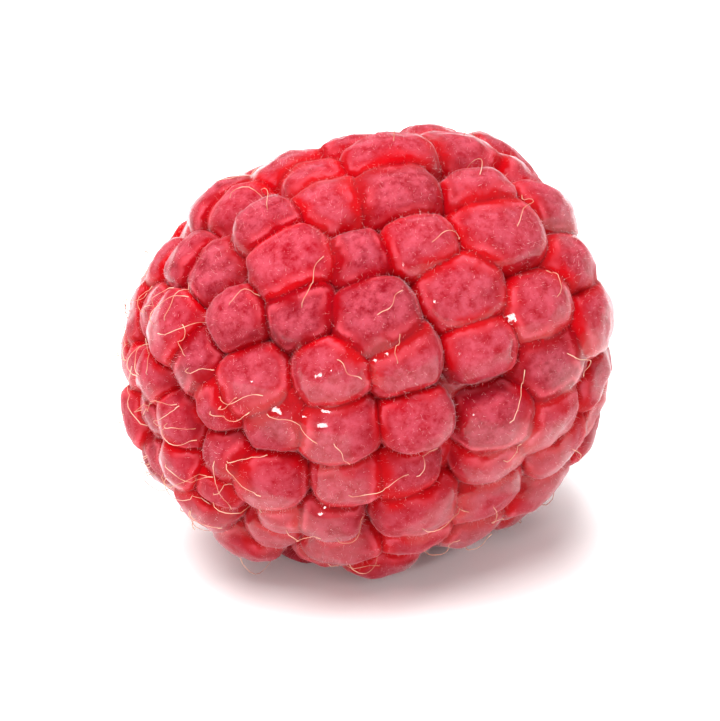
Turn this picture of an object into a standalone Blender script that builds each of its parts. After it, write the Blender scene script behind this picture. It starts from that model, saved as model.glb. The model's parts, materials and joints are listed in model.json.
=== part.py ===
# A picked raspberry: a hollow thimble of fused drupelets, lying on its side

import math
import random

import bmesh
import bpy
from mathutils import Matrix, Vector

# The fruit, in metres. It is modelled with its axis along Z, the open end up and the tip down.
FRUIT_RADIUS = 0.0104        # at the widest, over the drupelets
WIDEST_BELOW_MOUTH = 0.0086  # from the open end down to the widest ring
TIP_BELOW_WIDEST = 0.0128
MOUTH_ROUNDING = 0.0105      # how far above the widest ring the outline would close by itself
MOUTH_POWER = 2.5            # above 2 makes a curve fuller than an ellipse
TIP_POWER = 2.15
SECTION_WAVES = ((2, 0.022, 0.6), (3, 0.014, 2.1), (5, 0.008, 4.0))  # waves round, share, phase

# The drupelets, in metres.
ROWS = 9
ROW_PITCH = 0.0043           # along the fruit, at the open end
TIP_ROW_PITCH = 0.0025
DRUPELET_PITCH = 0.0035      # round the fruit, centre to centre on the outside
TIP_PITCH = 0.0026
DRUPELET_DEPTH = 0.0021      # from a drupelet's centre out to its top
TIP_DEPTH = 0.0017
DRUPELET_POWER = 2.7         # makes a drupelet a little square, as where they press together
DRUPELET_OVERLAP = 1.18      # a drupelet's size over its pitch
RIM_PITCH = 0.0030           # round the rim, where the drupelets are narrow
RIM_LENGTH = 0.0050          # a rim drupelet, from outside the fruit to inside the hollow
SIZE_CHANGE = 0.13           # largest random change of a drupelet's size, as a share
PLACE_CHANGE = 0.18          # largest random shift, in pitches
HEIGHT_CHANGE = 0.00036      # largest random change of a drupelet's height
FACES_KEPT = 0.7             # after the slivers along the seams are collapsed
SEED = 20

# The hollow that the receptacle left, in metres.
HOLLOW_RADIUS = 0.0046
HOLLOW_TOP = -0.0020
HOLLOW_END = -0.0158
HOLLOW_POWER = 1.9
BODY_INSET = 0.0018          # from the outline in to the body that joins the drupelets
BODY_SIDES = 30

# How it lies.
TIP_DROP = math.radians(6.0)
PRESS_SHARE = 0.80           # how much of its height the lowest flesh loses under the fruit's weight
PRESS_REACH = 0.0011         # how far up that dies away
RESTING_FLAT = 0.00034       # trimmed off below, to leave the resting drupelets flat
FLOOR_BLOCK = 0.030

FLESH_COLOUR = (0.56, 0.022, 0.045, 1.0)


def clear_scene():
    for obj in list(bpy.data.objects):
        bpy.data.objects.remove(obj, do_unlink=True)


def new_collection(name):
    collection = bpy.data.collections.new(name)
    bpy.context.scene.collection.children.link(collection)
    return collection


def move_to(obj, collection):
    for old in list(obj.users_collection):
        old.objects.unlink(obj)
    collection.objects.link(obj)


def mix(start, end, share):
    return start + (end - start) * share


def outline_radius(height):
    """The radius over the drupelets, at a height that is 0 at the open end."""
    above = height + WIDEST_BELOW_MOUTH
    if above >= 0:
        share = above / MOUTH_ROUNDING
        power = MOUTH_POWER
    else:
        share = -above / TIP_BELOW_WIDEST
        power = TIP_POWER
    return FRUIT_RADIUS * max(0.0, 1 - share**power) ** (1 / power)


def outline():
    """Points, outward normals and distances down the outline, from the rim to the tip."""
    steps = 400
    tip = -WIDEST_BELOW_MOUTH - TIP_BELOW_WIDEST
    heights = [tip * math.sin(0.5 * math.pi * step / steps) for step in range(steps + 1)]
    points = [Vector((outline_radius(height), height)) for height in heights]
    normals = []
    distances = [0.0]
    for step, point in enumerate(points):
        before = points[max(step - 1, 0)]
        after = points[min(step + 1, steps)]
        along = (after - before).normalized()
        normals.append(Vector((-along.y, along.x)))
        if step:
            distances.append(distances[-1] + (point - points[step - 1]).length)
    normals[-1] = Vector((0.0, -1.0))
    return points, normals, distances


def drupelet_places():
    """Where each drupelet sits: its matrix, which scales a unit ball to the drupelet."""
    chance = random.Random(SEED)
    points, normals, distances = outline()
    places = []
    for row in range(ROWS):
        share = row / (ROWS - 1)
        row_pitch = mix(ROW_PITCH, TIP_ROW_PITCH, share)
        mean_pitch = (ROW_PITCH + TIP_ROW_PITCH) / 2
        way = share * (ROW_PITCH + row_pitch) / 2 / mean_pitch
        pitch = mix(DRUPELET_PITCH, TIP_PITCH, share) if row else RIM_PITCH
        depth = mix(DRUPELET_DEPTH, TIP_DEPTH, share)
        here = min(range(len(points)), key=lambda step: abs(distances[step] - way * distances[-1]))
        radius, height = points[here]
        count = max(1, round(2 * math.pi * radius / pitch))
        start = chance.uniform(0, 2 * math.pi)
        for number in range(count):
            turn = start + 2 * math.pi * (number + chance.uniform(-PLACE_CHANGE, PLACE_CHANGE)) / count
            step = here
            shift = chance.uniform(-PLACE_CHANGE, PLACE_CHANGE) * row_pitch
            while 0 < step < len(points) - 1 and abs(distances[step] - distances[here]) < abs(shift):
                step += 1 if shift > 0 else -1
            swell = 1 + sum(size * math.sin(waves * turn + phase) for waves, size, phase in SECTION_WAVES)
            rise = chance.uniform(-HEIGHT_CHANGE, HEIGHT_CHANGE)
            size = 1 + chance.uniform(-SIZE_CHANGE, SIZE_CHANGE)
            out = Vector((math.cos(turn), math.sin(turn), 0))
            up = Vector((0, 0, 1))
            top = out * (points[step].x * swell) + up * points[step].y
            normal = out * normals[step].x + up * normals[step].y
            around = Vector((-math.sin(turn), math.cos(turn), 0))
            along = normal.cross(around)
            width = 0.5 * size * DRUPELET_OVERLAP * (2 * math.pi * radius / count if count > 1 else pitch)
            length = 0.5 * size * DRUPELET_OVERLAP * row_pitch
            if row == 0:
                length = 0.5 * size * RIM_LENGTH
            middle = top + normal * (rise - depth)
            turned = Matrix((around * width, along * length, normal * depth)).transposed().to_4x4()
            places.append(Matrix.Translation(middle) @ turned)
    return places


def add_drupelets(collection):
    """One ball for each drupelet, made a little square along its own axes."""
    for place in drupelet_places():
        mesh = bpy.data.meshes.new("drupelet")
        ball = bmesh.new()
        bmesh.ops.create_icosphere(ball, subdivisions=2, radius=1.0)
        for vert in ball.verts:
            sides = sum(abs(value) ** DRUPELET_POWER for value in vert.co)
            vert.co /= sides ** (1 / DRUPELET_POWER)
        bmesh.ops.transform(ball, matrix=place, verts=ball.verts)
        ball.to_mesh(mesh)
        ball.free()
        collection.objects.link(bpy.data.objects.new("drupelet", mesh))


def body_profile():
    """From the hollow's end up its wall, over the rim, and down inside the drupelets to the tip."""
    wall_steps = 9
    outer_steps = 14
    profile = []
    for step in range(wall_steps + 1):
        turn = 0.5 * math.pi * step / wall_steps
        up = 1 - math.cos(turn)
        height = mix(HOLLOW_END, HOLLOW_TOP, up)
        profile.append((HOLLOW_RADIUS * (1 - (1 - up) ** HOLLOW_POWER) ** (1 / HOLLOW_POWER), height))
    points, normals, distances = outline()
    for step in range(outer_steps + 1):
        here = (len(points) - 1) * step // outer_steps
        inside = points[here] - normals[here] * BODY_INSET
        profile.append((max(inside.x, 0.0), inside.y))
    profile[0] = (0.0, profile[0][1])
    profile[-1] = (0.0, profile[-1][1])
    return profile


def add_body(collection):
    """The flesh that joins the drupelets, turned round the axis, with the hollow open at the top."""
    mesh = bpy.data.meshes.new("raspberry")
    profile = body_profile()
    points = [(radius, 0.0, height) for radius, height in profile]
    mesh.from_pydata(points, [(step, step + 1) for step in range(len(points) - 1)], [])
    body = bpy.data.objects.new("raspberry", mesh)
    collection.objects.link(body)
    screw = body.modifiers.new("turn", "SCREW")
    screw.axis = "Z"
    screw.steps = BODY_SIDES
    screw.render_steps = BODY_SIDES
    screw.use_merge_vertices = True
    screw.merge_threshold = 0.00001
    apply_modifiers(body)
    return body


def apply_modifiers(obj):
    bpy.ops.object.select_all(action="DESELECT")
    bpy.context.view_layer.objects.active = obj
    obj.select_set(True)
    for modifier in list(obj.modifiers):
        bpy.ops.object.modifier_apply(modifier=modifier.name)


def join_drupelets(body, collection):
    join = body.modifiers.new("join drupelets", "BOOLEAN")
    join.operation = "UNION"
    join.operand_type = "COLLECTION"
    join.collection = collection
    join.solver = "EXACT"
    thin = body.modifiers.new("thin seams", "DECIMATE")
    thin.ratio = FACES_KEPT
    apply_modifiers(body)
    for obj in list(collection.objects):
        bpy.data.objects.remove(obj, do_unlink=True)
    bpy.data.collections.remove(collection)


def lay_on_side(body):
    """The open end turns toward +X, and the lowest flesh is pressed toward the floor."""
    body.data.transform(Matrix.Rotation(math.radians(90) - TIP_DROP, 4, "Y"))
    xs = [vert.co.x for vert in body.data.vertices]
    ys = [vert.co.y for vert in body.data.vertices]
    lowest = min(vert.co.z for vert in body.data.vertices)
    for vert in body.data.vertices:
        height = vert.co.z - lowest
        pressed = height * (1 - PRESS_SHARE * math.exp(-height / PRESS_REACH))
        vert.co.x -= (min(xs) + max(xs)) / 2
        vert.co.y -= (min(ys) + max(ys)) / 2
        vert.co.z = pressed - RESTING_FLAT


def flatten_underside(body, cutters):
    """The drupelets that carry the fruit are flat where they press on the floor."""
    bpy.ops.mesh.primitive_cube_add(size=FLOOR_BLOCK, location=(0, 0, -FLOOR_BLOCK / 2))
    floor = bpy.context.object
    floor.name = "floor_cutter"
    move_to(floor, cutters)
    floor.hide_render = True
    floor.display_type = "WIRE"
    cut = body.modifiers.new("resting flat", "BOOLEAN")
    cut.operation = "DIFFERENCE"
    cut.object = floor
    cut.solver = "EXACT"


def flesh_material():
    material = bpy.data.materials.new("flesh")
    material.use_nodes = True
    shader = material.node_tree.nodes["Principled BSDF"]
    shader.inputs["Base Color"].default_value = FLESH_COLOUR
    shader.inputs["Roughness"].default_value = 0.42
    shader.inputs["Metallic"].default_value = 0.0
    material.diffuse_color = FLESH_COLOUR
    return material


def main():
    clear_scene()
    fruit = new_collection("raspberry")
    drupelets = new_collection("drupelets")
    cutters = new_collection("cutters")
    add_drupelets(drupelets)
    body = add_body(fruit)
    join_drupelets(body, drupelets)
    lay_on_side(body)
    flatten_underside(body, cutters)
    body.data.shade_smooth()
    body.data.set_sharp_from_angle(angle=math.radians(50))
    body.data.materials.append(flesh_material())


main()
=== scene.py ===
import json
import math
import random

import bpy
import numpy as np
from mathutils import Matrix, Vector
from mathutils.bvhtree import BVHTree

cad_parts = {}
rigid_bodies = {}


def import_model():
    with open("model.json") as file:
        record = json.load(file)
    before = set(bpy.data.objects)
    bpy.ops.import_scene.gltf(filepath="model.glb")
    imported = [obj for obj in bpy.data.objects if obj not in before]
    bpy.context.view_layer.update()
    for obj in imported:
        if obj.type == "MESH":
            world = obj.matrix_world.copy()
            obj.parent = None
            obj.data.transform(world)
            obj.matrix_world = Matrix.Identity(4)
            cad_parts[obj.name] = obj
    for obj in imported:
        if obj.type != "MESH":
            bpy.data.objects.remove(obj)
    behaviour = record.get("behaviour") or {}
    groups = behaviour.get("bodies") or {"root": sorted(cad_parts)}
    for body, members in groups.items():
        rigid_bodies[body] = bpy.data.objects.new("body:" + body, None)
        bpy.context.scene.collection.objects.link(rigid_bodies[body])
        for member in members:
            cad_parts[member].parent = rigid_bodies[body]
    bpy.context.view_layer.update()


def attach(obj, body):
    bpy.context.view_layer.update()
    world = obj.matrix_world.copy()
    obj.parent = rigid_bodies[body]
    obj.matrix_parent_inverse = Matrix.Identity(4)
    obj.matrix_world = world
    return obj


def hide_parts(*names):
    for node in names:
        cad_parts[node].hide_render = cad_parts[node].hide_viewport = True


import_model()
print("frame loaded")

# the fruit's outline in metres, axis along Z with the open end up, the same as the solid it stands for
fruit = {
    "radius": 0.0104,
    "widestBelowMouth": 0.0086,
    "tipBelowWidest": 0.0128,
    "mouthRounding": 0.0105,
    "mouthPower": 2.5,
    "tipPower": 2.15,
    "outlineSteps": 400,
    "sectionWaves": ((2, 0.022, 0.6), (3, 0.014, 2.1), (5, 0.008, 4.0)),  # waves round, share, phase
    "tipDrop": math.radians(6),
    "pressShare": 0.80,     # of its height that the lowest flesh loses under the fruit's weight
    "pressReach": 0.0011,   # how far up that dies away
    "restingFlat": 0.00034,
    "floorReach": 0.000001, # points this near the floor count as on it
    "smoothAngle": math.radians(38),
}


def mix(start, end, share):
    return start + (end - start) * share


def deselectAll():
    if bpy.context.mode != "OBJECT":
        bpy.ops.object.mode_set(mode="OBJECT")
    bpy.ops.object.select_all(action="DESELECT")


def pick(obj):
    deselectAll()
    obj.select_set(True)
    bpy.context.view_layer.objects.active = obj


def applyModifiers(obj):
    pick(obj)
    for modifier in list(obj.modifiers):
        bpy.ops.object.modifier_apply(modifier=modifier.name)


def outlineRadius(height):
    above = height + fruit["widestBelowMouth"]
    if above >= 0:
        share = above / fruit["mouthRounding"]
        power = fruit["mouthPower"]
    else:
        share = -above / fruit["tipBelowWidest"]
        power = fruit["tipPower"]
    return fruit["radius"] * max(0.0, 1 - share**power) ** (1 / power)


def outline():
    steps = fruit["outlineSteps"]
    tip = -fruit["widestBelowMouth"] - fruit["tipBelowWidest"]
    heights = [tip * math.sin(0.5 * math.pi * step / steps) for step in range(steps + 1)]
    points = [Vector((outlineRadius(height), height)) for height in heights]
    normals = []
    distances = [0.0]
    for step, point in enumerate(points):
        along = (points[min(step + 1, steps)] - points[max(step - 1, 0)]).normalized()
        normals.append(Vector((-along.y, along.x)))
        if step:
            distances.append(distances[-1] + (point - points[step - 1]).length)
    normals[-1] = Vector((0.0, -1.0))
    return points, normals, distances


# drupelets, the little balls: sizes in metres, places by the same rule and seed as the solid
drupelet = {
    "rows": 9,
    "rowPitch": 0.0043,
    "tipRowPitch": 0.0025,
    "pitch": 0.0035,
    "tipPitch": 0.0026,
    "depth": 0.0021,
    "tipDepth": 0.0017,
    "overlap": 1.18,
    "rimPitch": 0.0030,
    "rimLength": 0.0050,
    "sizeChange": 0.13,
    "placeChange": 0.18,
    "heightChange": 0.00036,
    "seed": 20,
    "squareness": 0.22,
    "power": 2.7,       # above 2 measures a drupelet as a squared ball
    "fineness": 4,
}


def drupeletPlaces():
    chance = random.Random(drupelet["seed"])
    points, normals, distances = outline()
    loose = drupelet["placeChange"]
    up = Vector((0, 0, 1))
    places = []
    for row in range(drupelet["rows"]):
        share = row / (drupelet["rows"] - 1)
        rowPitch = mix(drupelet["rowPitch"], drupelet["tipRowPitch"], share)
        meanPitch = (drupelet["rowPitch"] + drupelet["tipRowPitch"]) / 2
        way = share * (drupelet["rowPitch"] + rowPitch) / 2 / meanPitch
        pitch = mix(drupelet["pitch"], drupelet["tipPitch"], share) if row else drupelet["rimPitch"]
        depth = mix(drupelet["depth"], drupelet["tipDepth"], share)
        here = min(range(len(points)), key=lambda step: abs(distances[step] - way * distances[-1]))
        radius = points[here].x
        count = max(1, round(2 * math.pi * radius / pitch))
        start = chance.uniform(0, 2 * math.pi)
        for number in range(count):
            turn = start + 2 * math.pi * (number + chance.uniform(-loose, loose)) / count
            step = here
            shift = chance.uniform(-loose, loose) * rowPitch
            while 0 < step < len(points) - 1 and abs(distances[step] - distances[here]) < abs(shift):
                step += 1 if shift > 0 else -1
            swell = 1 + sum(
                size * math.sin(waves * turn + phase) for waves, size, phase in fruit["sectionWaves"]
            )
            rise = chance.uniform(-drupelet["heightChange"], drupelet["heightChange"])
            size = 1 + chance.uniform(-drupelet["sizeChange"], drupelet["sizeChange"])
            out = Vector((math.cos(turn), math.sin(turn), 0))
            top = out * (points[step].x * swell) + up * points[step].y
            normal = out * normals[step].x + up * normals[step].y
            around = Vector((-math.sin(turn), math.cos(turn), 0))
            along = normal.cross(around)
            roundPitch = 2 * math.pi * radius / count if count > 1 else pitch
            width = 0.5 * size * drupelet["overlap"] * roundPitch
            length = 0.5 * size * drupelet["overlap"] * rowPitch
            if row == 0:
                length = 0.5 * size * drupelet["rimLength"]
            middle = top + normal * (rise - depth)
            turned = Matrix((around * width, along * length, normal * depth)).transposed().to_4x4()
            matrix = Matrix.Translation(middle) @ turned
            places.append({"row": row, "matrix": matrix, "normal": normal, "along": along})
    return places


def makeDrupelets(places, collection):
    deselectAll()
    bpy.ops.mesh.primitive_ico_sphere_add(subdivisions=drupelet["fineness"], radius=1)
    first = bpy.context.object
    cast = first.modifiers.new("pressed square", "CAST")  # neighbours press them a little square
    cast.cast_type = "CUBOID"
    cast.factor = drupelet["squareness"]
    cast.size = 1
    applyModifiers(first)
    for place in places:
        mesh = first.data.copy()
        mesh.transform(place["matrix"])
        collection.objects.link(bpy.data.objects.new("drupelet", mesh))
    bpy.data.objects.remove(first, do_unlink=True)
    print("drupelets placed:", len(places))


# the flesh inside that joins them, with the hollow that the receptacle left
hollow = {
    "radius": 0.0046,
    "top": -0.0020,
    "end": -0.0158,
    "power": 1.9,
    "inset": 0.0018,
    "sides": 96,
    "wallSteps": 44,
    "plainSteps": 4,         # at the top of the wall, left without relief
    "outerSteps": 14,
    "seamGap": 0.00001,
    "bumpSize": 0.0017,      # the drupelets' inner ends
    "bumpHeight": 0.00035,
    "bumpMiddle": 0.3,
}


def bodyProfile():
    profile = []
    for step in range(hollow["wallSteps"] + 1):
        up = 1 - math.cos(0.5 * math.pi * step / hollow["wallSteps"])
        radius = hollow["radius"] * (1 - (1 - up) ** hollow["power"]) ** (1 / hollow["power"])
        profile.append(Vector((radius, 0, mix(hollow["end"], hollow["top"], up))))
    points, normals = outline()[:2]
    for step in range(hollow["outerSteps"] + 1):
        here = (len(points) - 1) * step // hollow["outerSteps"]
        inside = points[here] - normals[here] * hollow["inset"]
        profile.append(Vector((max(inside.x, 0), 0, inside.y)))
    profile[0].x = 0
    profile[-1].x = 0
    return profile


def makeBody():
    profile = bodyProfile()
    deselectAll()
    bpy.ops.mesh.primitive_plane_add(size=0.001, location=(0, 0, 0))
    body = bpy.context.object
    body.name = "raspberryFlesh"
    bpy.ops.object.mode_set(mode="EDIT")
    bpy.ops.mesh.select_all(action="SELECT")
    bpy.ops.mesh.merge(type="CENTER")  # one point, drawn out along the profile
    bpy.ops.transform.translate(value=profile[0])
    for before, after in zip(profile, profile[1:]):
        bpy.ops.mesh.extrude_vertices_move(TRANSFORM_OT_translate={"value": after - before})
    bpy.ops.object.mode_set(mode="OBJECT")
    wall = body.vertex_groups.new(name="wall")
    wall.add(list(range(hollow["wallSteps"] - hollow["plainSteps"])), 1.0, "REPLACE")
    screw = body.modifiers.new("turn", "SCREW")
    screw.axis = "Z"
    screw.steps = hollow["sides"]
    screw.render_steps = hollow["sides"]
    screw.use_merge_vertices = True
    screw.merge_threshold = hollow["seamGap"]
    bumps = bpy.data.textures.new("wallBumps", "VORONOI")
    bumps.noise_scale = hollow["bumpSize"]
    relief = body.modifiers.new("inner ends", "DISPLACE")
    relief.texture = bumps
    relief.texture_coords = "LOCAL"
    relief.vertex_group = "wall"
    relief.strength = -hollow["bumpHeight"]
    relief.mid_level = hollow["bumpMiddle"]
    applyModifiers(body)
    return body


def fuse(body, collection):
    join = body.modifiers.new("fuse", "BOOLEAN")
    join.operation = "UNION"
    join.operand_type = "COLLECTION"
    join.collection = collection
    join.solver = "MANIFOLD"
    applyModifiers(body)
    for obj in list(collection.objects):
        bpy.data.objects.remove(obj, do_unlink=True)
    bpy.data.collections.remove(collection)
    print("fused:", len(body.data.polygons), "faces")


# the skin's form: how its creases are rounded, and its unevenness as (size, height) in metres
skinForm = {
    "rounding": 0.5,
    "roundingPasses": 3,
    "swells": {"swelling": (0.0016, 0.00034), "dimples": (0.0008, 0.00013)},
    "swellMiddle": 0.5,
}


def softenDrupelets(body):
    smooth = body.modifiers.new("rounded creases", "SMOOTH")
    smooth.factor = skinForm["rounding"]
    smooth.iterations = skinForm["roundingPasses"]
    for name, (size, height) in skinForm["swells"].items():
        swell = bpy.data.textures.new(name, "CLOUDS")
        swell.noise_scale = size
        uneven = body.modifiers.new(name, "DISPLACE")
        uneven.texture = swell
        uneven.texture_coords = "LOCAL"
        uneven.strength = height
        uneven.mid_level = skinForm["swellMiddle"]
    applyModifiers(body)


def vertexPlaces(mesh):
    flat = np.empty(len(mesh.vertices) * 3, np.float64)
    mesh.vertices.foreach_get("co", flat)
    return flat.reshape(-1, 3)


def smoothStep(low, high, values):
    share = np.clip((values - low) / (high - low), 0, 1)
    return share * share * (3 - 2 * share)


# where the skin counts as a drupelet's top, in shares of its depth, and as the hollow's wall, in metres
skinZones = {
    "topFrom": 0.2,
    "topFull": 1.0,
    "outsideWall": 0.0012,   # past the hollow's radius, where the wall's look begins
    "insideWall": 0.0002,    # within it, where that look is full
    "wallFrom": -0.0008,     # below the open end
    "wallFull": -0.0030,
    "pastEnd": 0.0004,
    "farAway": 99.0,
}


def markSkin(body, places):
    spots = vertexPlaces(body.data)
    nearest = np.full(len(spots), skinZones["farAway"])
    second = nearest.copy()
    owner = np.zeros(len(spots), np.int64)
    height = np.zeros(len(spots))
    for number, place in enumerate(places):
        back = np.array(place["matrix"].inverted())
        local = spots @ back[:3, :3].T + back[:3, 3]
        away = (np.abs(local) ** drupelet["power"]).sum(axis=1) ** (1 / drupelet["power"])
        closer = away < nearest
        second = np.where(closer, nearest, np.minimum(second, away))
        height = np.where(closer, local[:, 2], height)
        owner = np.where(closer, number, owner)
        nearest = np.minimum(nearest, away)
    tones = np.random.default_rng(drupelet["seed"]).random(len(places))
    fromAxis = np.hypot(spots[:, 0], spots[:, 1])
    outer = hollow["radius"] + skinZones["outsideWall"]
    within = smoothStep(outer, hollow["radius"] - skinZones["insideWall"], fromAxis)
    aboveEnd = spots[:, 2] > hollow["end"] - skinZones["pastEnd"]
    within *= smoothStep(skinZones["wallFrom"], skinZones["wallFull"], spots[:, 2]) * aboveEnd
    marks = {
        "fromCrease": np.clip(second - nearest, 0, 1),
        "top": smoothStep(skinZones["topFrom"], skinZones["topFull"], height),
        "tone": tones[owner],
        "inside": within,
    }
    for name, values in marks.items():
        mark = body.data.attributes.new(name, "FLOAT", "POINT")
        mark.data.foreach_set("value", values.astype(np.float32))
    print("skin marked")


def lyingPlace(body):
    turn = Matrix.Rotation(math.radians(90) - fruit["tipDrop"], 4, "Y")
    spots = vertexPlaces(body.data) @ np.array(turn.to_3x3()).T
    low = spots.min(axis=0)
    high = spots.max(axis=0)
    return {"turn": turn, "x": (low[0] + high[0]) / 2, "y": (low[1] + high[1]) / 2, "z": low[2]}


def layOnSide(obj, lying):
    obj.data.transform(lying["turn"])
    spots = vertexPlaces(obj.data)
    spots[:, 0] -= lying["x"]
    spots[:, 1] -= lying["y"]
    rise = spots[:, 2] - lying["z"]
    pressed = rise * (1 - fruit["pressShare"] * np.exp(-rise / fruit["pressReach"]))
    spots[:, 2] = pressed - fruit["restingFlat"]
    obj.data.vertices.foreach_set("co", spots.ravel())
    obj.data.update()


def flattenUnderside(body):
    pick(body)
    bpy.ops.object.mode_set(mode="EDIT")
    bpy.ops.mesh.select_all(action="SELECT")
    bpy.ops.mesh.bisect(
        plane_co=(0, 0, 0), plane_no=(0, 0, 1), use_fill=True, clear_inner=True, threshold=fruit["floorReach"]
    )
    bpy.ops.object.mode_set(mode="OBJECT")


# the skin's colours, grain and gloss; a noise is its waves in a metre, its detail and its roughness
flesh = {
    "seamShadeColour": (0.29, 0.0006, 0.003, 1),    # painted shade, deepest in the middle of a crease
    # a brighter red than the domes: a painted glow of light through the thin flesh of the creases
    "creaseGlowColour": (0.36, 0.0005, 0.003, 1),
    "domeColour": (0.26, 0.002, 0.008, 1),
    "deepRed": (0.12, 0.001, 0.005, 1),        # mixed into the darker drupelets
    "fuzzAndSheenColour": (0.49, 0.080, 0.116, 1),     # the pale fuzz on the tops, partly painted sheen
    "edgeHighlightColour": (0.52, 0.064, 0.090, 1),     # painted highlight on the soft pale edge of a dome, partly its fuzz
    "wallShade": (0.52, 0.025, 0.038, 1),
    "wallColour": (0.70, 0.14, 0.16, 1),
    "seamShadeSpan": (0.0, 0.07),                   # how far out of a crease each colour begins and is full
    "domeSpan": (0.10, 0.40),
    "edgeHighlightStart": (0.09, 0.17),
    "edgeHighlightEnd": (0.30, 0.17),
    "raggedness": 0.035,
    "raggedNoise": (1300, 3.0, 0.6),
    "raggedSpan": (0.3, 0.7),
    "darkTones": (0.45, 1.0),
    "deepShare": 0.5,
    "fuzzAndSheenShare": 0.65,
    "fuzzAndSheenNoise": (1500, 6.0, 0.72),
    "fuzzAndSheenSpan": (0.30, 0.65),
    "topSheenBelow": 0.6,                         # painted sheen, paler higher up: the share of the pale tops left near the floor
    "topSheenHeights": (0.002, 0.015),
    "edgeHighlightShare": 0.75,
    "edgeHighlightNoise": (650, 2.0, 0.5),
    "edgeHighlightSpan": (0.38, 0.66),
    "wallNoise": (700, 4.0, 0.7),
    "wallSpan": (0.35, 0.65),
    "roughness": 0.52,
    "roughnessChange": 0.1,
    "grainNoise": (2400, 3.0, 0.6),
    "grainSpan": (0.3, 0.7),
    "juiceGloss": 0.8,
    "juiceNoise": (260, 1.0, 0.5),
    "juiceSpan": (0.44, 0.54),
    "wrinkleNoise": (2200, 5.0, 0.65),
    "wrinkleStrength": 0.5,
    "wrinkleDepth": 0.00011,
    "shader": {
        "Subsurface Weight": 0.45,
        "Subsurface Radius": (1.0, 0.22, 0.16),
        "Subsurface Scale": 0.0009,
        "Sheen Weight": 0.3,
        "Sheen Roughness": 0.28,
        "Sheen Tint": (1.0, 0.66, 0.74, 1),
        "Coat Roughness": 0.07,
        "Coat IOR": 1.4,
        "IOR": 1.36,
        "Specular IOR Level": 0.1,
    },
}


def setSockets(node, values):
    for name, value in values.items():
        node.inputs[name].default_value = value


def newMaterial(name, finish):
    material = bpy.data.materials.new(name)
    material.use_nodes = True
    shader = material.node_tree.nodes["Principled BSDF"]
    setSockets(shader, finish)
    return material, material.node_tree, shader


def addNode(tree, kind, place, **values):
    node = tree.nodes.new(kind)
    node.location = place
    for name, value in values.items():
        setattr(node, name, value)
    return node


def feed(tree, socket, value):
    if isinstance(value, bpy.types.NodeSocket):
        tree.links.new(value, socket)
    else:
        socket.default_value = value


def attribute(tree, name, place):
    return addNode(tree, "ShaderNodeAttribute", place, attribute_name=name).outputs["Fac"]


def mathNode(tree, operation, first, second, place):
    node = addNode(tree, "ShaderNodeMath", place, operation=operation)
    feed(tree, node.inputs[0], first)
    feed(tree, node.inputs[1], second)
    return node.outputs[0]


def mixColours(tree, share, first, second, place):
    node = addNode(tree, "ShaderNodeMix", place, data_type="RGBA")
    for socket, value in ((0, share), (6, first), (7, second)):  # factor, A and B of a colour mix
        feed(tree, node.inputs[socket], value)
    return node.outputs[2]


def noise(tree, coordinates, kind, place):
    node = addNode(tree, "ShaderNodeTexNoise", place)
    setSockets(node, dict(zip(("Scale", "Detail", "Roughness"), kind)))
    tree.links.new(coordinates, node.inputs["Vector"])
    return node.outputs["Fac"]


def stretch(tree, value, span, place, newLow=0.0, newHigh=1.0):
    node = addNode(tree, "ShaderNodeMapRange", place, interpolation_type="SMOOTHSTEP")
    tree.links.new(value, node.inputs["Value"])
    low, high = span
    setSockets(node, {"From Min": low, "From Max": high, "To Min": newLow, "To Max": newHigh})
    return node.outputs["Result"]


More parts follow.
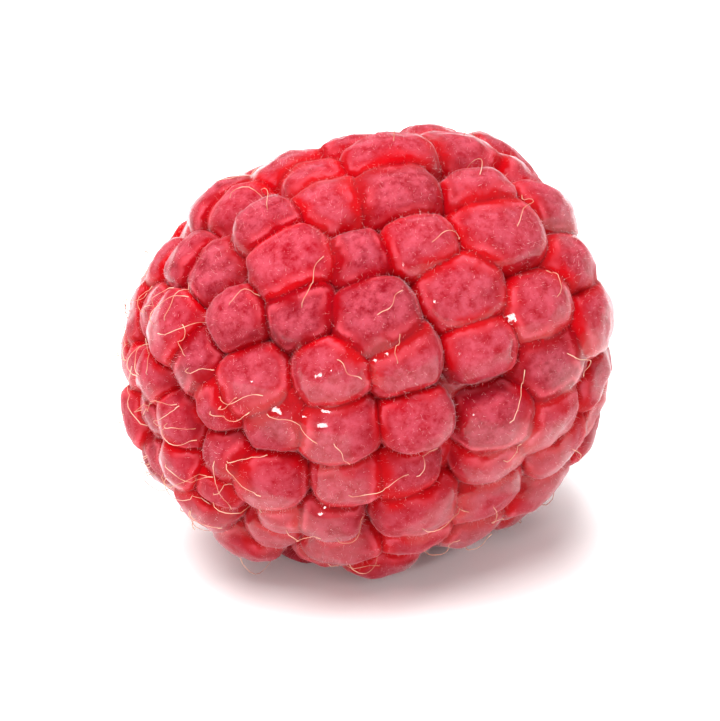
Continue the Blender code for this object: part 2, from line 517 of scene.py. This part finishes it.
def fleshMaterial():
    material, tree, shader = newMaterial("raspberryFlesh", flesh["shader"])
    coordinates = addNode(tree, "ShaderNodeTexCoord", (-1800, 0)).outputs["Object"]
    fromCrease = attribute(tree, "fromCrease", (-1800, 400))
    top = attribute(tree, "top", (-1800, 250))
    tone = attribute(tree, "tone", (-1800, -200))
    inside = attribute(tree, "inside", (-1800, -350))

    uneven = noise(tree, coordinates, flesh["raggedNoise"], (-1800, 600))
    loose = flesh["raggedness"]
    ragged = stretch(tree, uneven, flesh["raggedSpan"], (-1650, 600), -loose, loose)
    depth = mathNode(tree, "ADD", fromCrease, ragged, (-1500, 500))
    dome = stretch(tree, depth, flesh["domeSpan"], (-1350, 400))
    # painted shade along the middle of each crease
    seamShade = stretch(tree, fromCrease, flesh["seamShadeSpan"], (-1350, 550))
    # the crease band's brighter red is a painted glow
    red = mixColours(tree, seamShade, flesh["seamShadeColour"], flesh["creaseGlowColour"], (-1150, 450))
    skin = mixColours(tree, dome, red, flesh["domeColour"], (-1000, 300))
    darker = stretch(tree, tone, flesh["darkTones"], (-1400, -200), 0.0, flesh["deepShare"])
    skin = mixColours(tree, darker, skin, flesh["deepRed"], (-850, 300))

    # pale tops of the domes: partly the fuzz, partly painted sheen
    mottle = noise(tree, coordinates, flesh["fuzzAndSheenNoise"], (-1400, 100))
    mottled = stretch(tree, mottle, flesh["fuzzAndSheenSpan"], (-1200, 100), 0.0, flesh["fuzzAndSheenShare"])
    fuzzAndSheen = mathNode(tree, "MULTIPLY", mottled, top, (-1000, 0))
    fuzzAndSheen = mathNode(tree, "MULTIPLY", fuzzAndSheen, dome, (-850, 0))
    # painted sheen: the pale tops fade towards the floor
    height = addNode(tree, "ShaderNodeSeparateXYZ", (-1200, -50))
    tree.links.new(coordinates, height.inputs["Vector"])
    topSheen = stretch(tree, height.outputs["Z"], flesh["topSheenHeights"], (-1000, -50), flesh["topSheenBelow"])
    fuzzAndSheen = mathNode(tree, "MULTIPLY", fuzzAndSheen, topSheen, (-780, 0))
    skin = mixColours(tree, fuzzAndSheen, skin, flesh["fuzzAndSheenColour"], (-700, 300))

    # a painted highlight round the soft edge of each dome, partly its fuzz
    nearEdge = stretch(tree, depth, flesh["edgeHighlightStart"], (-1500, 650))
    pastEdge = stretch(tree, depth, flesh["edgeHighlightEnd"], (-1500, 800))
    broken = noise(tree, coordinates, flesh["edgeHighlightNoise"], (-1500, 950))
    patchy = stretch(tree, broken, flesh["edgeHighlightSpan"], (-1300, 950), 0.0, flesh["edgeHighlightShare"])
    edgeHighlight = mathNode(tree, "MULTIPLY", nearEdge, pastEdge, (-1200, 700))
    edgeHighlight = mathNode(tree, "MULTIPLY", edgeHighlight, patchy, (-1050, 700))
    skin = mixColours(tree, edgeHighlight, skin, flesh["edgeHighlightColour"], (-550, 300))

    streaky = noise(tree, coordinates, flesh["wallNoise"], (-1400, -500))
    streaks = stretch(tree, streaky, flesh["wallSpan"], (-1200, -500))
    wall = mixColours(tree, streaks, flesh["wallShade"], flesh["wallColour"], (-1000, -500))
    skin = mixColours(tree, inside, skin, wall, (-400, 300))
    feed(tree, shader.inputs["Base Color"], skin)

    grain = noise(tree, coordinates, flesh["grainNoise"], (-900, -200))
    smoothest = flesh["roughness"] - flesh["roughnessChange"]
    roughest = flesh["roughness"] + flesh["roughnessChange"]
    rough = stretch(tree, grain, flesh["grainSpan"], (-450, -200), smoothest, roughest)
    feed(tree, shader.inputs["Roughness"], rough)
    juicy = noise(tree, coordinates, flesh["juiceNoise"], (-900, -400))
    coat = stretch(tree, juicy, flesh["juiceSpan"], (-450, -400), 0.0, flesh["juiceGloss"])
    feed(tree, shader.inputs["Coat Weight"], coat)
    wrinkles = noise(tree, coordinates, flesh["wrinkleNoise"], (-800, -700))
    bump = addNode(tree, "ShaderNodeBump", (-400, -600))
    setSockets(bump, {"Strength": flesh["wrinkleStrength"], "Distance": flesh["wrinkleDepth"]})
    feed(tree, bump.inputs["Height"], wrinkles)
    feed(tree, shader.inputs["Normal"], bump.outputs["Normal"])
    return material


def makeRaspberry(places):
    collection = bpy.data.collections.new("drupelets")
    bpy.context.scene.collection.children.link(collection)
    makeDrupelets(places, collection)
    body = makeBody()
    fuse(body, collection)
    softenDrupelets(body)
    markSkin(body, places)
    return body


def finishRaspberry(body, lying):
    layOnSide(body, lying)
    flattenUnderside(body)
    body.data.materials.clear()
    body.data.materials.append(fleshMaterial())
    pick(body)
    bpy.ops.object.shade_smooth_by_angle(angle=fruit["smoothAngle"])
    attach(body, "root")
    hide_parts("raspberry")
    print("raspberry:", len(body.data.polygons), "faces")


# the dried styles, threads that lie over the drupelets, thickest at the tip; sizes in metres
style = {
    "radius": 0.000016,
    "thickness": (1.3, 0.6),    # at the root and near the end, in radii
    "knob": 1.4,                # the small knob that ends it
    "knobFrom": 0.9,            # share of the length
    "bevelSteps": 1,
    "shortest": 0.0012,
    "longest": 0.0036,
    "steps": 12,
    "offCentre": 0.0005,
    "castFrom": 0.005,          # above the skin, to find the root on it
    "castReach": 0.008,
    "swing": 1.3,               # most that it turns away from the way to the tip, in radians
    "clearance": 0.00010,
    "arch": 0.00055,
    "archShares": (0.2, 1.0),
    "archSteepness": 1.2,
    "follow": 0.5,              # how fast it takes up the skin's slope
    "curl": 260,
    "wave": 0.25,
    "waveTurn": 8,
    "rooted": 0.00008,
    "offFloor": 0.0010,
    "keptOnSides": 0.35,
    "keptAtTip": 1.0,
    "tangledRows": 3,
    "tangle": 2,                # more threads from each drupelet of those rows
    "seed": 7,
    "patchNoise": (900, 2.0, 0.5),
    "patchSpan": (0.35, 0.65),
    "darkColour": (0.45, 0.15, 0.09, 1),
    "paleColour": (0.72, 0.45, 0.33, 1),
    "shader": {"Roughness": 0.5, "Subsurface Weight": 0.2, "Subsurface Scale": 0.0001},
}


def hairMaterial(name, hair):
    material, tree, shader = newMaterial(name, hair["shader"])
    coordinates = addNode(tree, "ShaderNodeTexCoord", (-900, 0)).outputs["Object"]
    uneven = noise(tree, coordinates, hair["patchNoise"], (-700, 0))
    patches = stretch(tree, uneven, hair["patchSpan"], (-500, 0))
    colour = mixColours(tree, patches, hair["darkColour"], hair["paleColour"], (-300, 0))
    feed(tree, shader.inputs["Base Color"], colour)
    return material


def surfaceOf(body):
    corners = [vertex.co for vertex in body.data.vertices]
    return BVHTree.FromPolygons(corners, [face.vertices for face in body.data.polygons])


def heightAbove(point, lying):
    return (lying["turn"] @ point).z - lying["z"]


def stylePoints(place, surface, chance):
    length = chance.uniform(style["shortest"], style["longest"])
    swing = chance.uniform(-style["swing"], style["swing"])
    bend = chance.uniform(-style["curl"], style["curl"])
    phase = chance.uniform(0, 2 * math.pi)
    arch = style["arch"] * chance.uniform(*style["archShares"])
    normal = place["normal"]
    side = normal.cross(place["along"])
    offCentre = place["along"] * chance.uniform(-1, 1) + side * chance.uniform(-1, 1)
    start = place["matrix"].translation + offCentre * style["offCentre"]
    above = start + normal * style["castFrom"]
    root, facing = surface.ray_cast(above, -normal, style["castReach"])[:2]
    if root is None:
        return []
    heading = place["along"] * math.cos(swing) + side * math.sin(swing)
    stepLength = length / style["steps"]
    points = [root - normal * style["rooted"]]
    spot = root
    for step in range(1, style["steps"] + 1):
        part = step / style["steps"]
        turn = bend * stepLength + style["wave"] * math.sin(phase + style["waveTurn"] * part)
        heading = Matrix.Rotation(turn, 3, facing) @ heading
        heading = (heading - facing * heading.dot(facing)).normalized()
        spot, outward = surface.find_nearest(spot + heading * stepLength)[:2]
        facing = (facing * (1 - style["follow"]) + outward * style["follow"]).normalized()
        rise = math.sin(math.pi * min(1.0, style["archSteepness"] * part))
        points.append(spot + facing * (style["clearance"] + arch * rise))
    return points


def makeStyles(body, places, lying):
    chance = random.Random(style["seed"])
    surface = surfaceOf(body)
    curve = bpy.data.curves.new("driedStyles", "CURVE")
    curve.dimensions = "3D"
    curve.bevel_depth = style["radius"]
    curve.bevel_resolution = style["bevelSteps"]
    curve.use_fill_caps = True
    tipRows = drupelet["rows"] - style["tangledRows"]
    tangled = [place for place in places if place["row"] >= tipRows] * style["tangle"]
    for place in places + tangled:
        toTip = place["row"] / (drupelet["rows"] - 1)
        kept = chance.random() < mix(style["keptOnSides"], style["keptAtTip"], toTip)
        points = stylePoints(place, surface, chance)
        if not kept or not points or place["row"] == 0:
            continue
        if min(heightAbove(point, lying) for point in points) < style["offFloor"]:
            continue
        spline = curve.splines.new("POLY")
        spline.points.add(len(points) - 1)
        for step, point in enumerate(points):
            part = step / (len(points) - 1)
            spline.points[step].co = (*point, 1)
            slim = mix(*style["thickness"], part)
            spline.points[step].radius = slim if part < style["knobFrom"] else style["knob"]
    threads = bpy.data.objects.new("driedStyles", curve)
    bpy.context.collection.objects.link(threads)
    pick(threads)
    bpy.ops.object.convert(target="MESH")
    threads = bpy.context.object
    layOnSide(threads, lying)
    bpy.ops.object.shade_smooth()
    threads.data.materials.append(hairMaterial("dryStyle", style))
    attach(threads, "root")
    print("styles:", len(curve.splines), "threads,", len(threads.data.polygons), "faces")


# the short down that gives the skin its velvet look; sizes in metres
down = {
    "count": 26000,
    "shortest": 0.00010,
    "longest": 0.00036,
    "radius": 0.0000035,
    "sides": 3,
    "lean": 0.6,
    "leastRise": 0.25,      # flatter hairs are left off
    "nearUpright": 0.9,     # from here a level helper is crossed with the hair
    "rooted": 0.00003,
    "offFloor": 0.0008,
    "seed": 11,
    "patchNoise": (500, 2.0, 0.5),
    "patchSpan": (0.35, 0.65),
    "darkColour": (0.70, 0.26, 0.28, 1),
    "paleColour": (0.86, 0.54, 0.54, 1),
    "shader": {"Roughness": 0.6},
}


def makeDown(body, lying):
    deselectAll()
    bpy.ops.mesh.primitive_cone_add(
        vertices=down["sides"], radius1=1, radius2=0, depth=1, location=(0, 0, 0.5)
    )
    first = bpy.context.object
    bpy.ops.object.transform_apply(location=True, rotation=True, scale=True)
    corners = vertexPlaces(first.data)
    sides = [tuple(face.vertices) for face in first.data.polygons]
    bpy.data.objects.remove(first, do_unlink=True)
    chance = np.random.default_rng(down["seed"])
    faces = body.data.polygons
    areas = np.empty(len(faces))
    centres = np.empty(len(faces) * 3)
    normals = np.empty(len(faces) * 3)
    faces.foreach_get("area", areas)
    faces.foreach_get("center", centres)
    faces.foreach_get("normal", normals)
    chosen = chance.choice(len(faces), down["count"], p=areas / areas.sum())
    roots = centres.reshape(-1, 3)[chosen]
    outward = normals.reshape(-1, 3)[chosen]
    directions = outward + down["lean"] * chance.normal(size=roots.shape)
    directions /= np.linalg.norm(directions, axis=1)[:, None]
    rising = (directions * outward).sum(axis=1) > down["leastRise"]
    lengths = chance.uniform(down["shortest"], down["longest"], len(roots))
    toFloor = np.array(lying["turn"].to_3x3())[2]
    lowest = np.minimum(roots @ toFloor, (roots + lengths[:, None] * directions) @ toFloor)
    kept = rising & (lowest - lying["z"] > down["offFloor"])
    roots = roots[kept]
    directions = directions[kept]
    lengths = lengths[kept]
    slanted = np.abs(directions[:, 2:]) < down["nearUpright"]
    helper = np.where(slanted, [[0.0, 0.0, 1.0]], [[1.0, 0.0, 0.0]])
    across = np.cross(directions, helper)
    across /= np.linalg.norm(across, axis=1)[:, None]
    other = np.cross(directions, across)
    spots = roots[:, None, :] + down["radius"] * (
        corners[None, :, 0:1] * across[:, None, :] + corners[None, :, 1:2] * other[:, None, :]
    )
    spots = spots + corners[None, :, 2:3] * (lengths[:, None] * directions)[:, None, :]
    spots -= (directions * down["rooted"])[:, None, :]
    starts = range(0, len(roots) * len(corners), len(corners))
    allSides = [tuple(start + corner for corner in side) for start in starts for side in sides]
    mesh = bpy.data.meshes.new("paleDown")
    mesh.from_pydata(spots.reshape(-1, 3).tolist(), [], allSides)
    fuzz = bpy.data.objects.new("paleDown", mesh)
    bpy.context.collection.objects.link(fuzz)
    layOnSide(fuzz, lying)
    fuzz.data.materials.append(hairMaterial("paleDown", down))
    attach(fuzz, "root")
    print("down:", len(roots), "hairs")


# the pale surface, the soft light and the camera
studio = {
    "floorSize": 1.2,
    "floorShader": {"Base Color": (0.97, 0.97, 0.97, 1), "Roughness": 0.6},
    "azimuth": -24,
    "elevation": 30,
    "distance": 0.45,
    "frameWidth": 0.0345,
    "sensorWidth": 36,
    "aim": (0.0, 0.0, 0.0098),
    "lights": {  # place, width, power, and whether the skin mirrors it
        "overheadWindow": ((-0.10, -0.05, 0.40), 0.36, 3.2, False),
        "frontFill": ((0.12, -0.40, 0.20), 0.30, 0.6, False),
        "leftWindow": ((-0.34, -0.27, 0.17), 0.075, 0.60, True),
        "backGlow": ((0.05, 0.34, 0.33), 0.36, 1.5, False),
    },
    "allRound": {"Color": (1, 1, 1, 1), "Strength": 0.38},
}


def makeFloor():
    deselectAll()
    bpy.ops.mesh.primitive_plane_add(size=studio["floorSize"], location=(0, 0, 0))
    floor = bpy.context.object
    floor.name = "floor"
    floor.data.materials.append(newMaterial("whiteSurface", studio["floorShader"])[0])


def aimAt(obj, target):
    obj.rotation_euler = (Vector(target) - obj.location).to_track_quat("-Z", "Y").to_euler()


def makeLight(name, place, size, power, glints):
    light = bpy.data.lights.new(name, "AREA")
    light.shape = "DISK"
    light.size = size
    light.energy = power
    lamp = bpy.data.objects.new(name, light)
    bpy.context.collection.objects.link(lamp)
    lamp.location = place
    lamp.visible_glossy = glints
    aimAt(lamp, studio["aim"])


def makeLights():
    for name, settings in studio["lights"].items():
        makeLight(name, *settings)
    world = bpy.data.worlds.new("studioWorld")
    bpy.context.scene.world = world
    world.use_nodes = True
    setSockets(world.node_tree.nodes["Background"], studio["allRound"])


def makeCamera():
    camera = bpy.data.cameras.new("camera")
    camera.sensor_width = studio["sensorWidth"]
    camera.lens = studio["sensorWidth"] * studio["distance"] / studio["frameWidth"]
    eye = bpy.data.objects.new("camera", camera)
    bpy.context.collection.objects.link(eye)
    turn = math.radians(studio["azimuth"])
    lift = math.radians(studio["elevation"])
    away = Vector((math.sin(turn) * math.cos(lift), -math.cos(turn) * math.cos(lift), math.sin(lift)))
    eye.location = Vector(studio["aim"]) + away * studio["distance"]
    aimAt(eye, studio["aim"])
    bpy.context.scene.camera = eye


places = drupeletPlaces()
raspberry = makeRaspberry(places)
lying = lyingPlace(raspberry)
makeStyles(raspberry, places, lying)
makeDown(raspberry, lying)
finishRaspberry(raspberry, lying)
makeFloor()
makeLights()
makeCamera()
bpy.context.scene.view_settings.view_transform = "Standard"
print("studio ready")
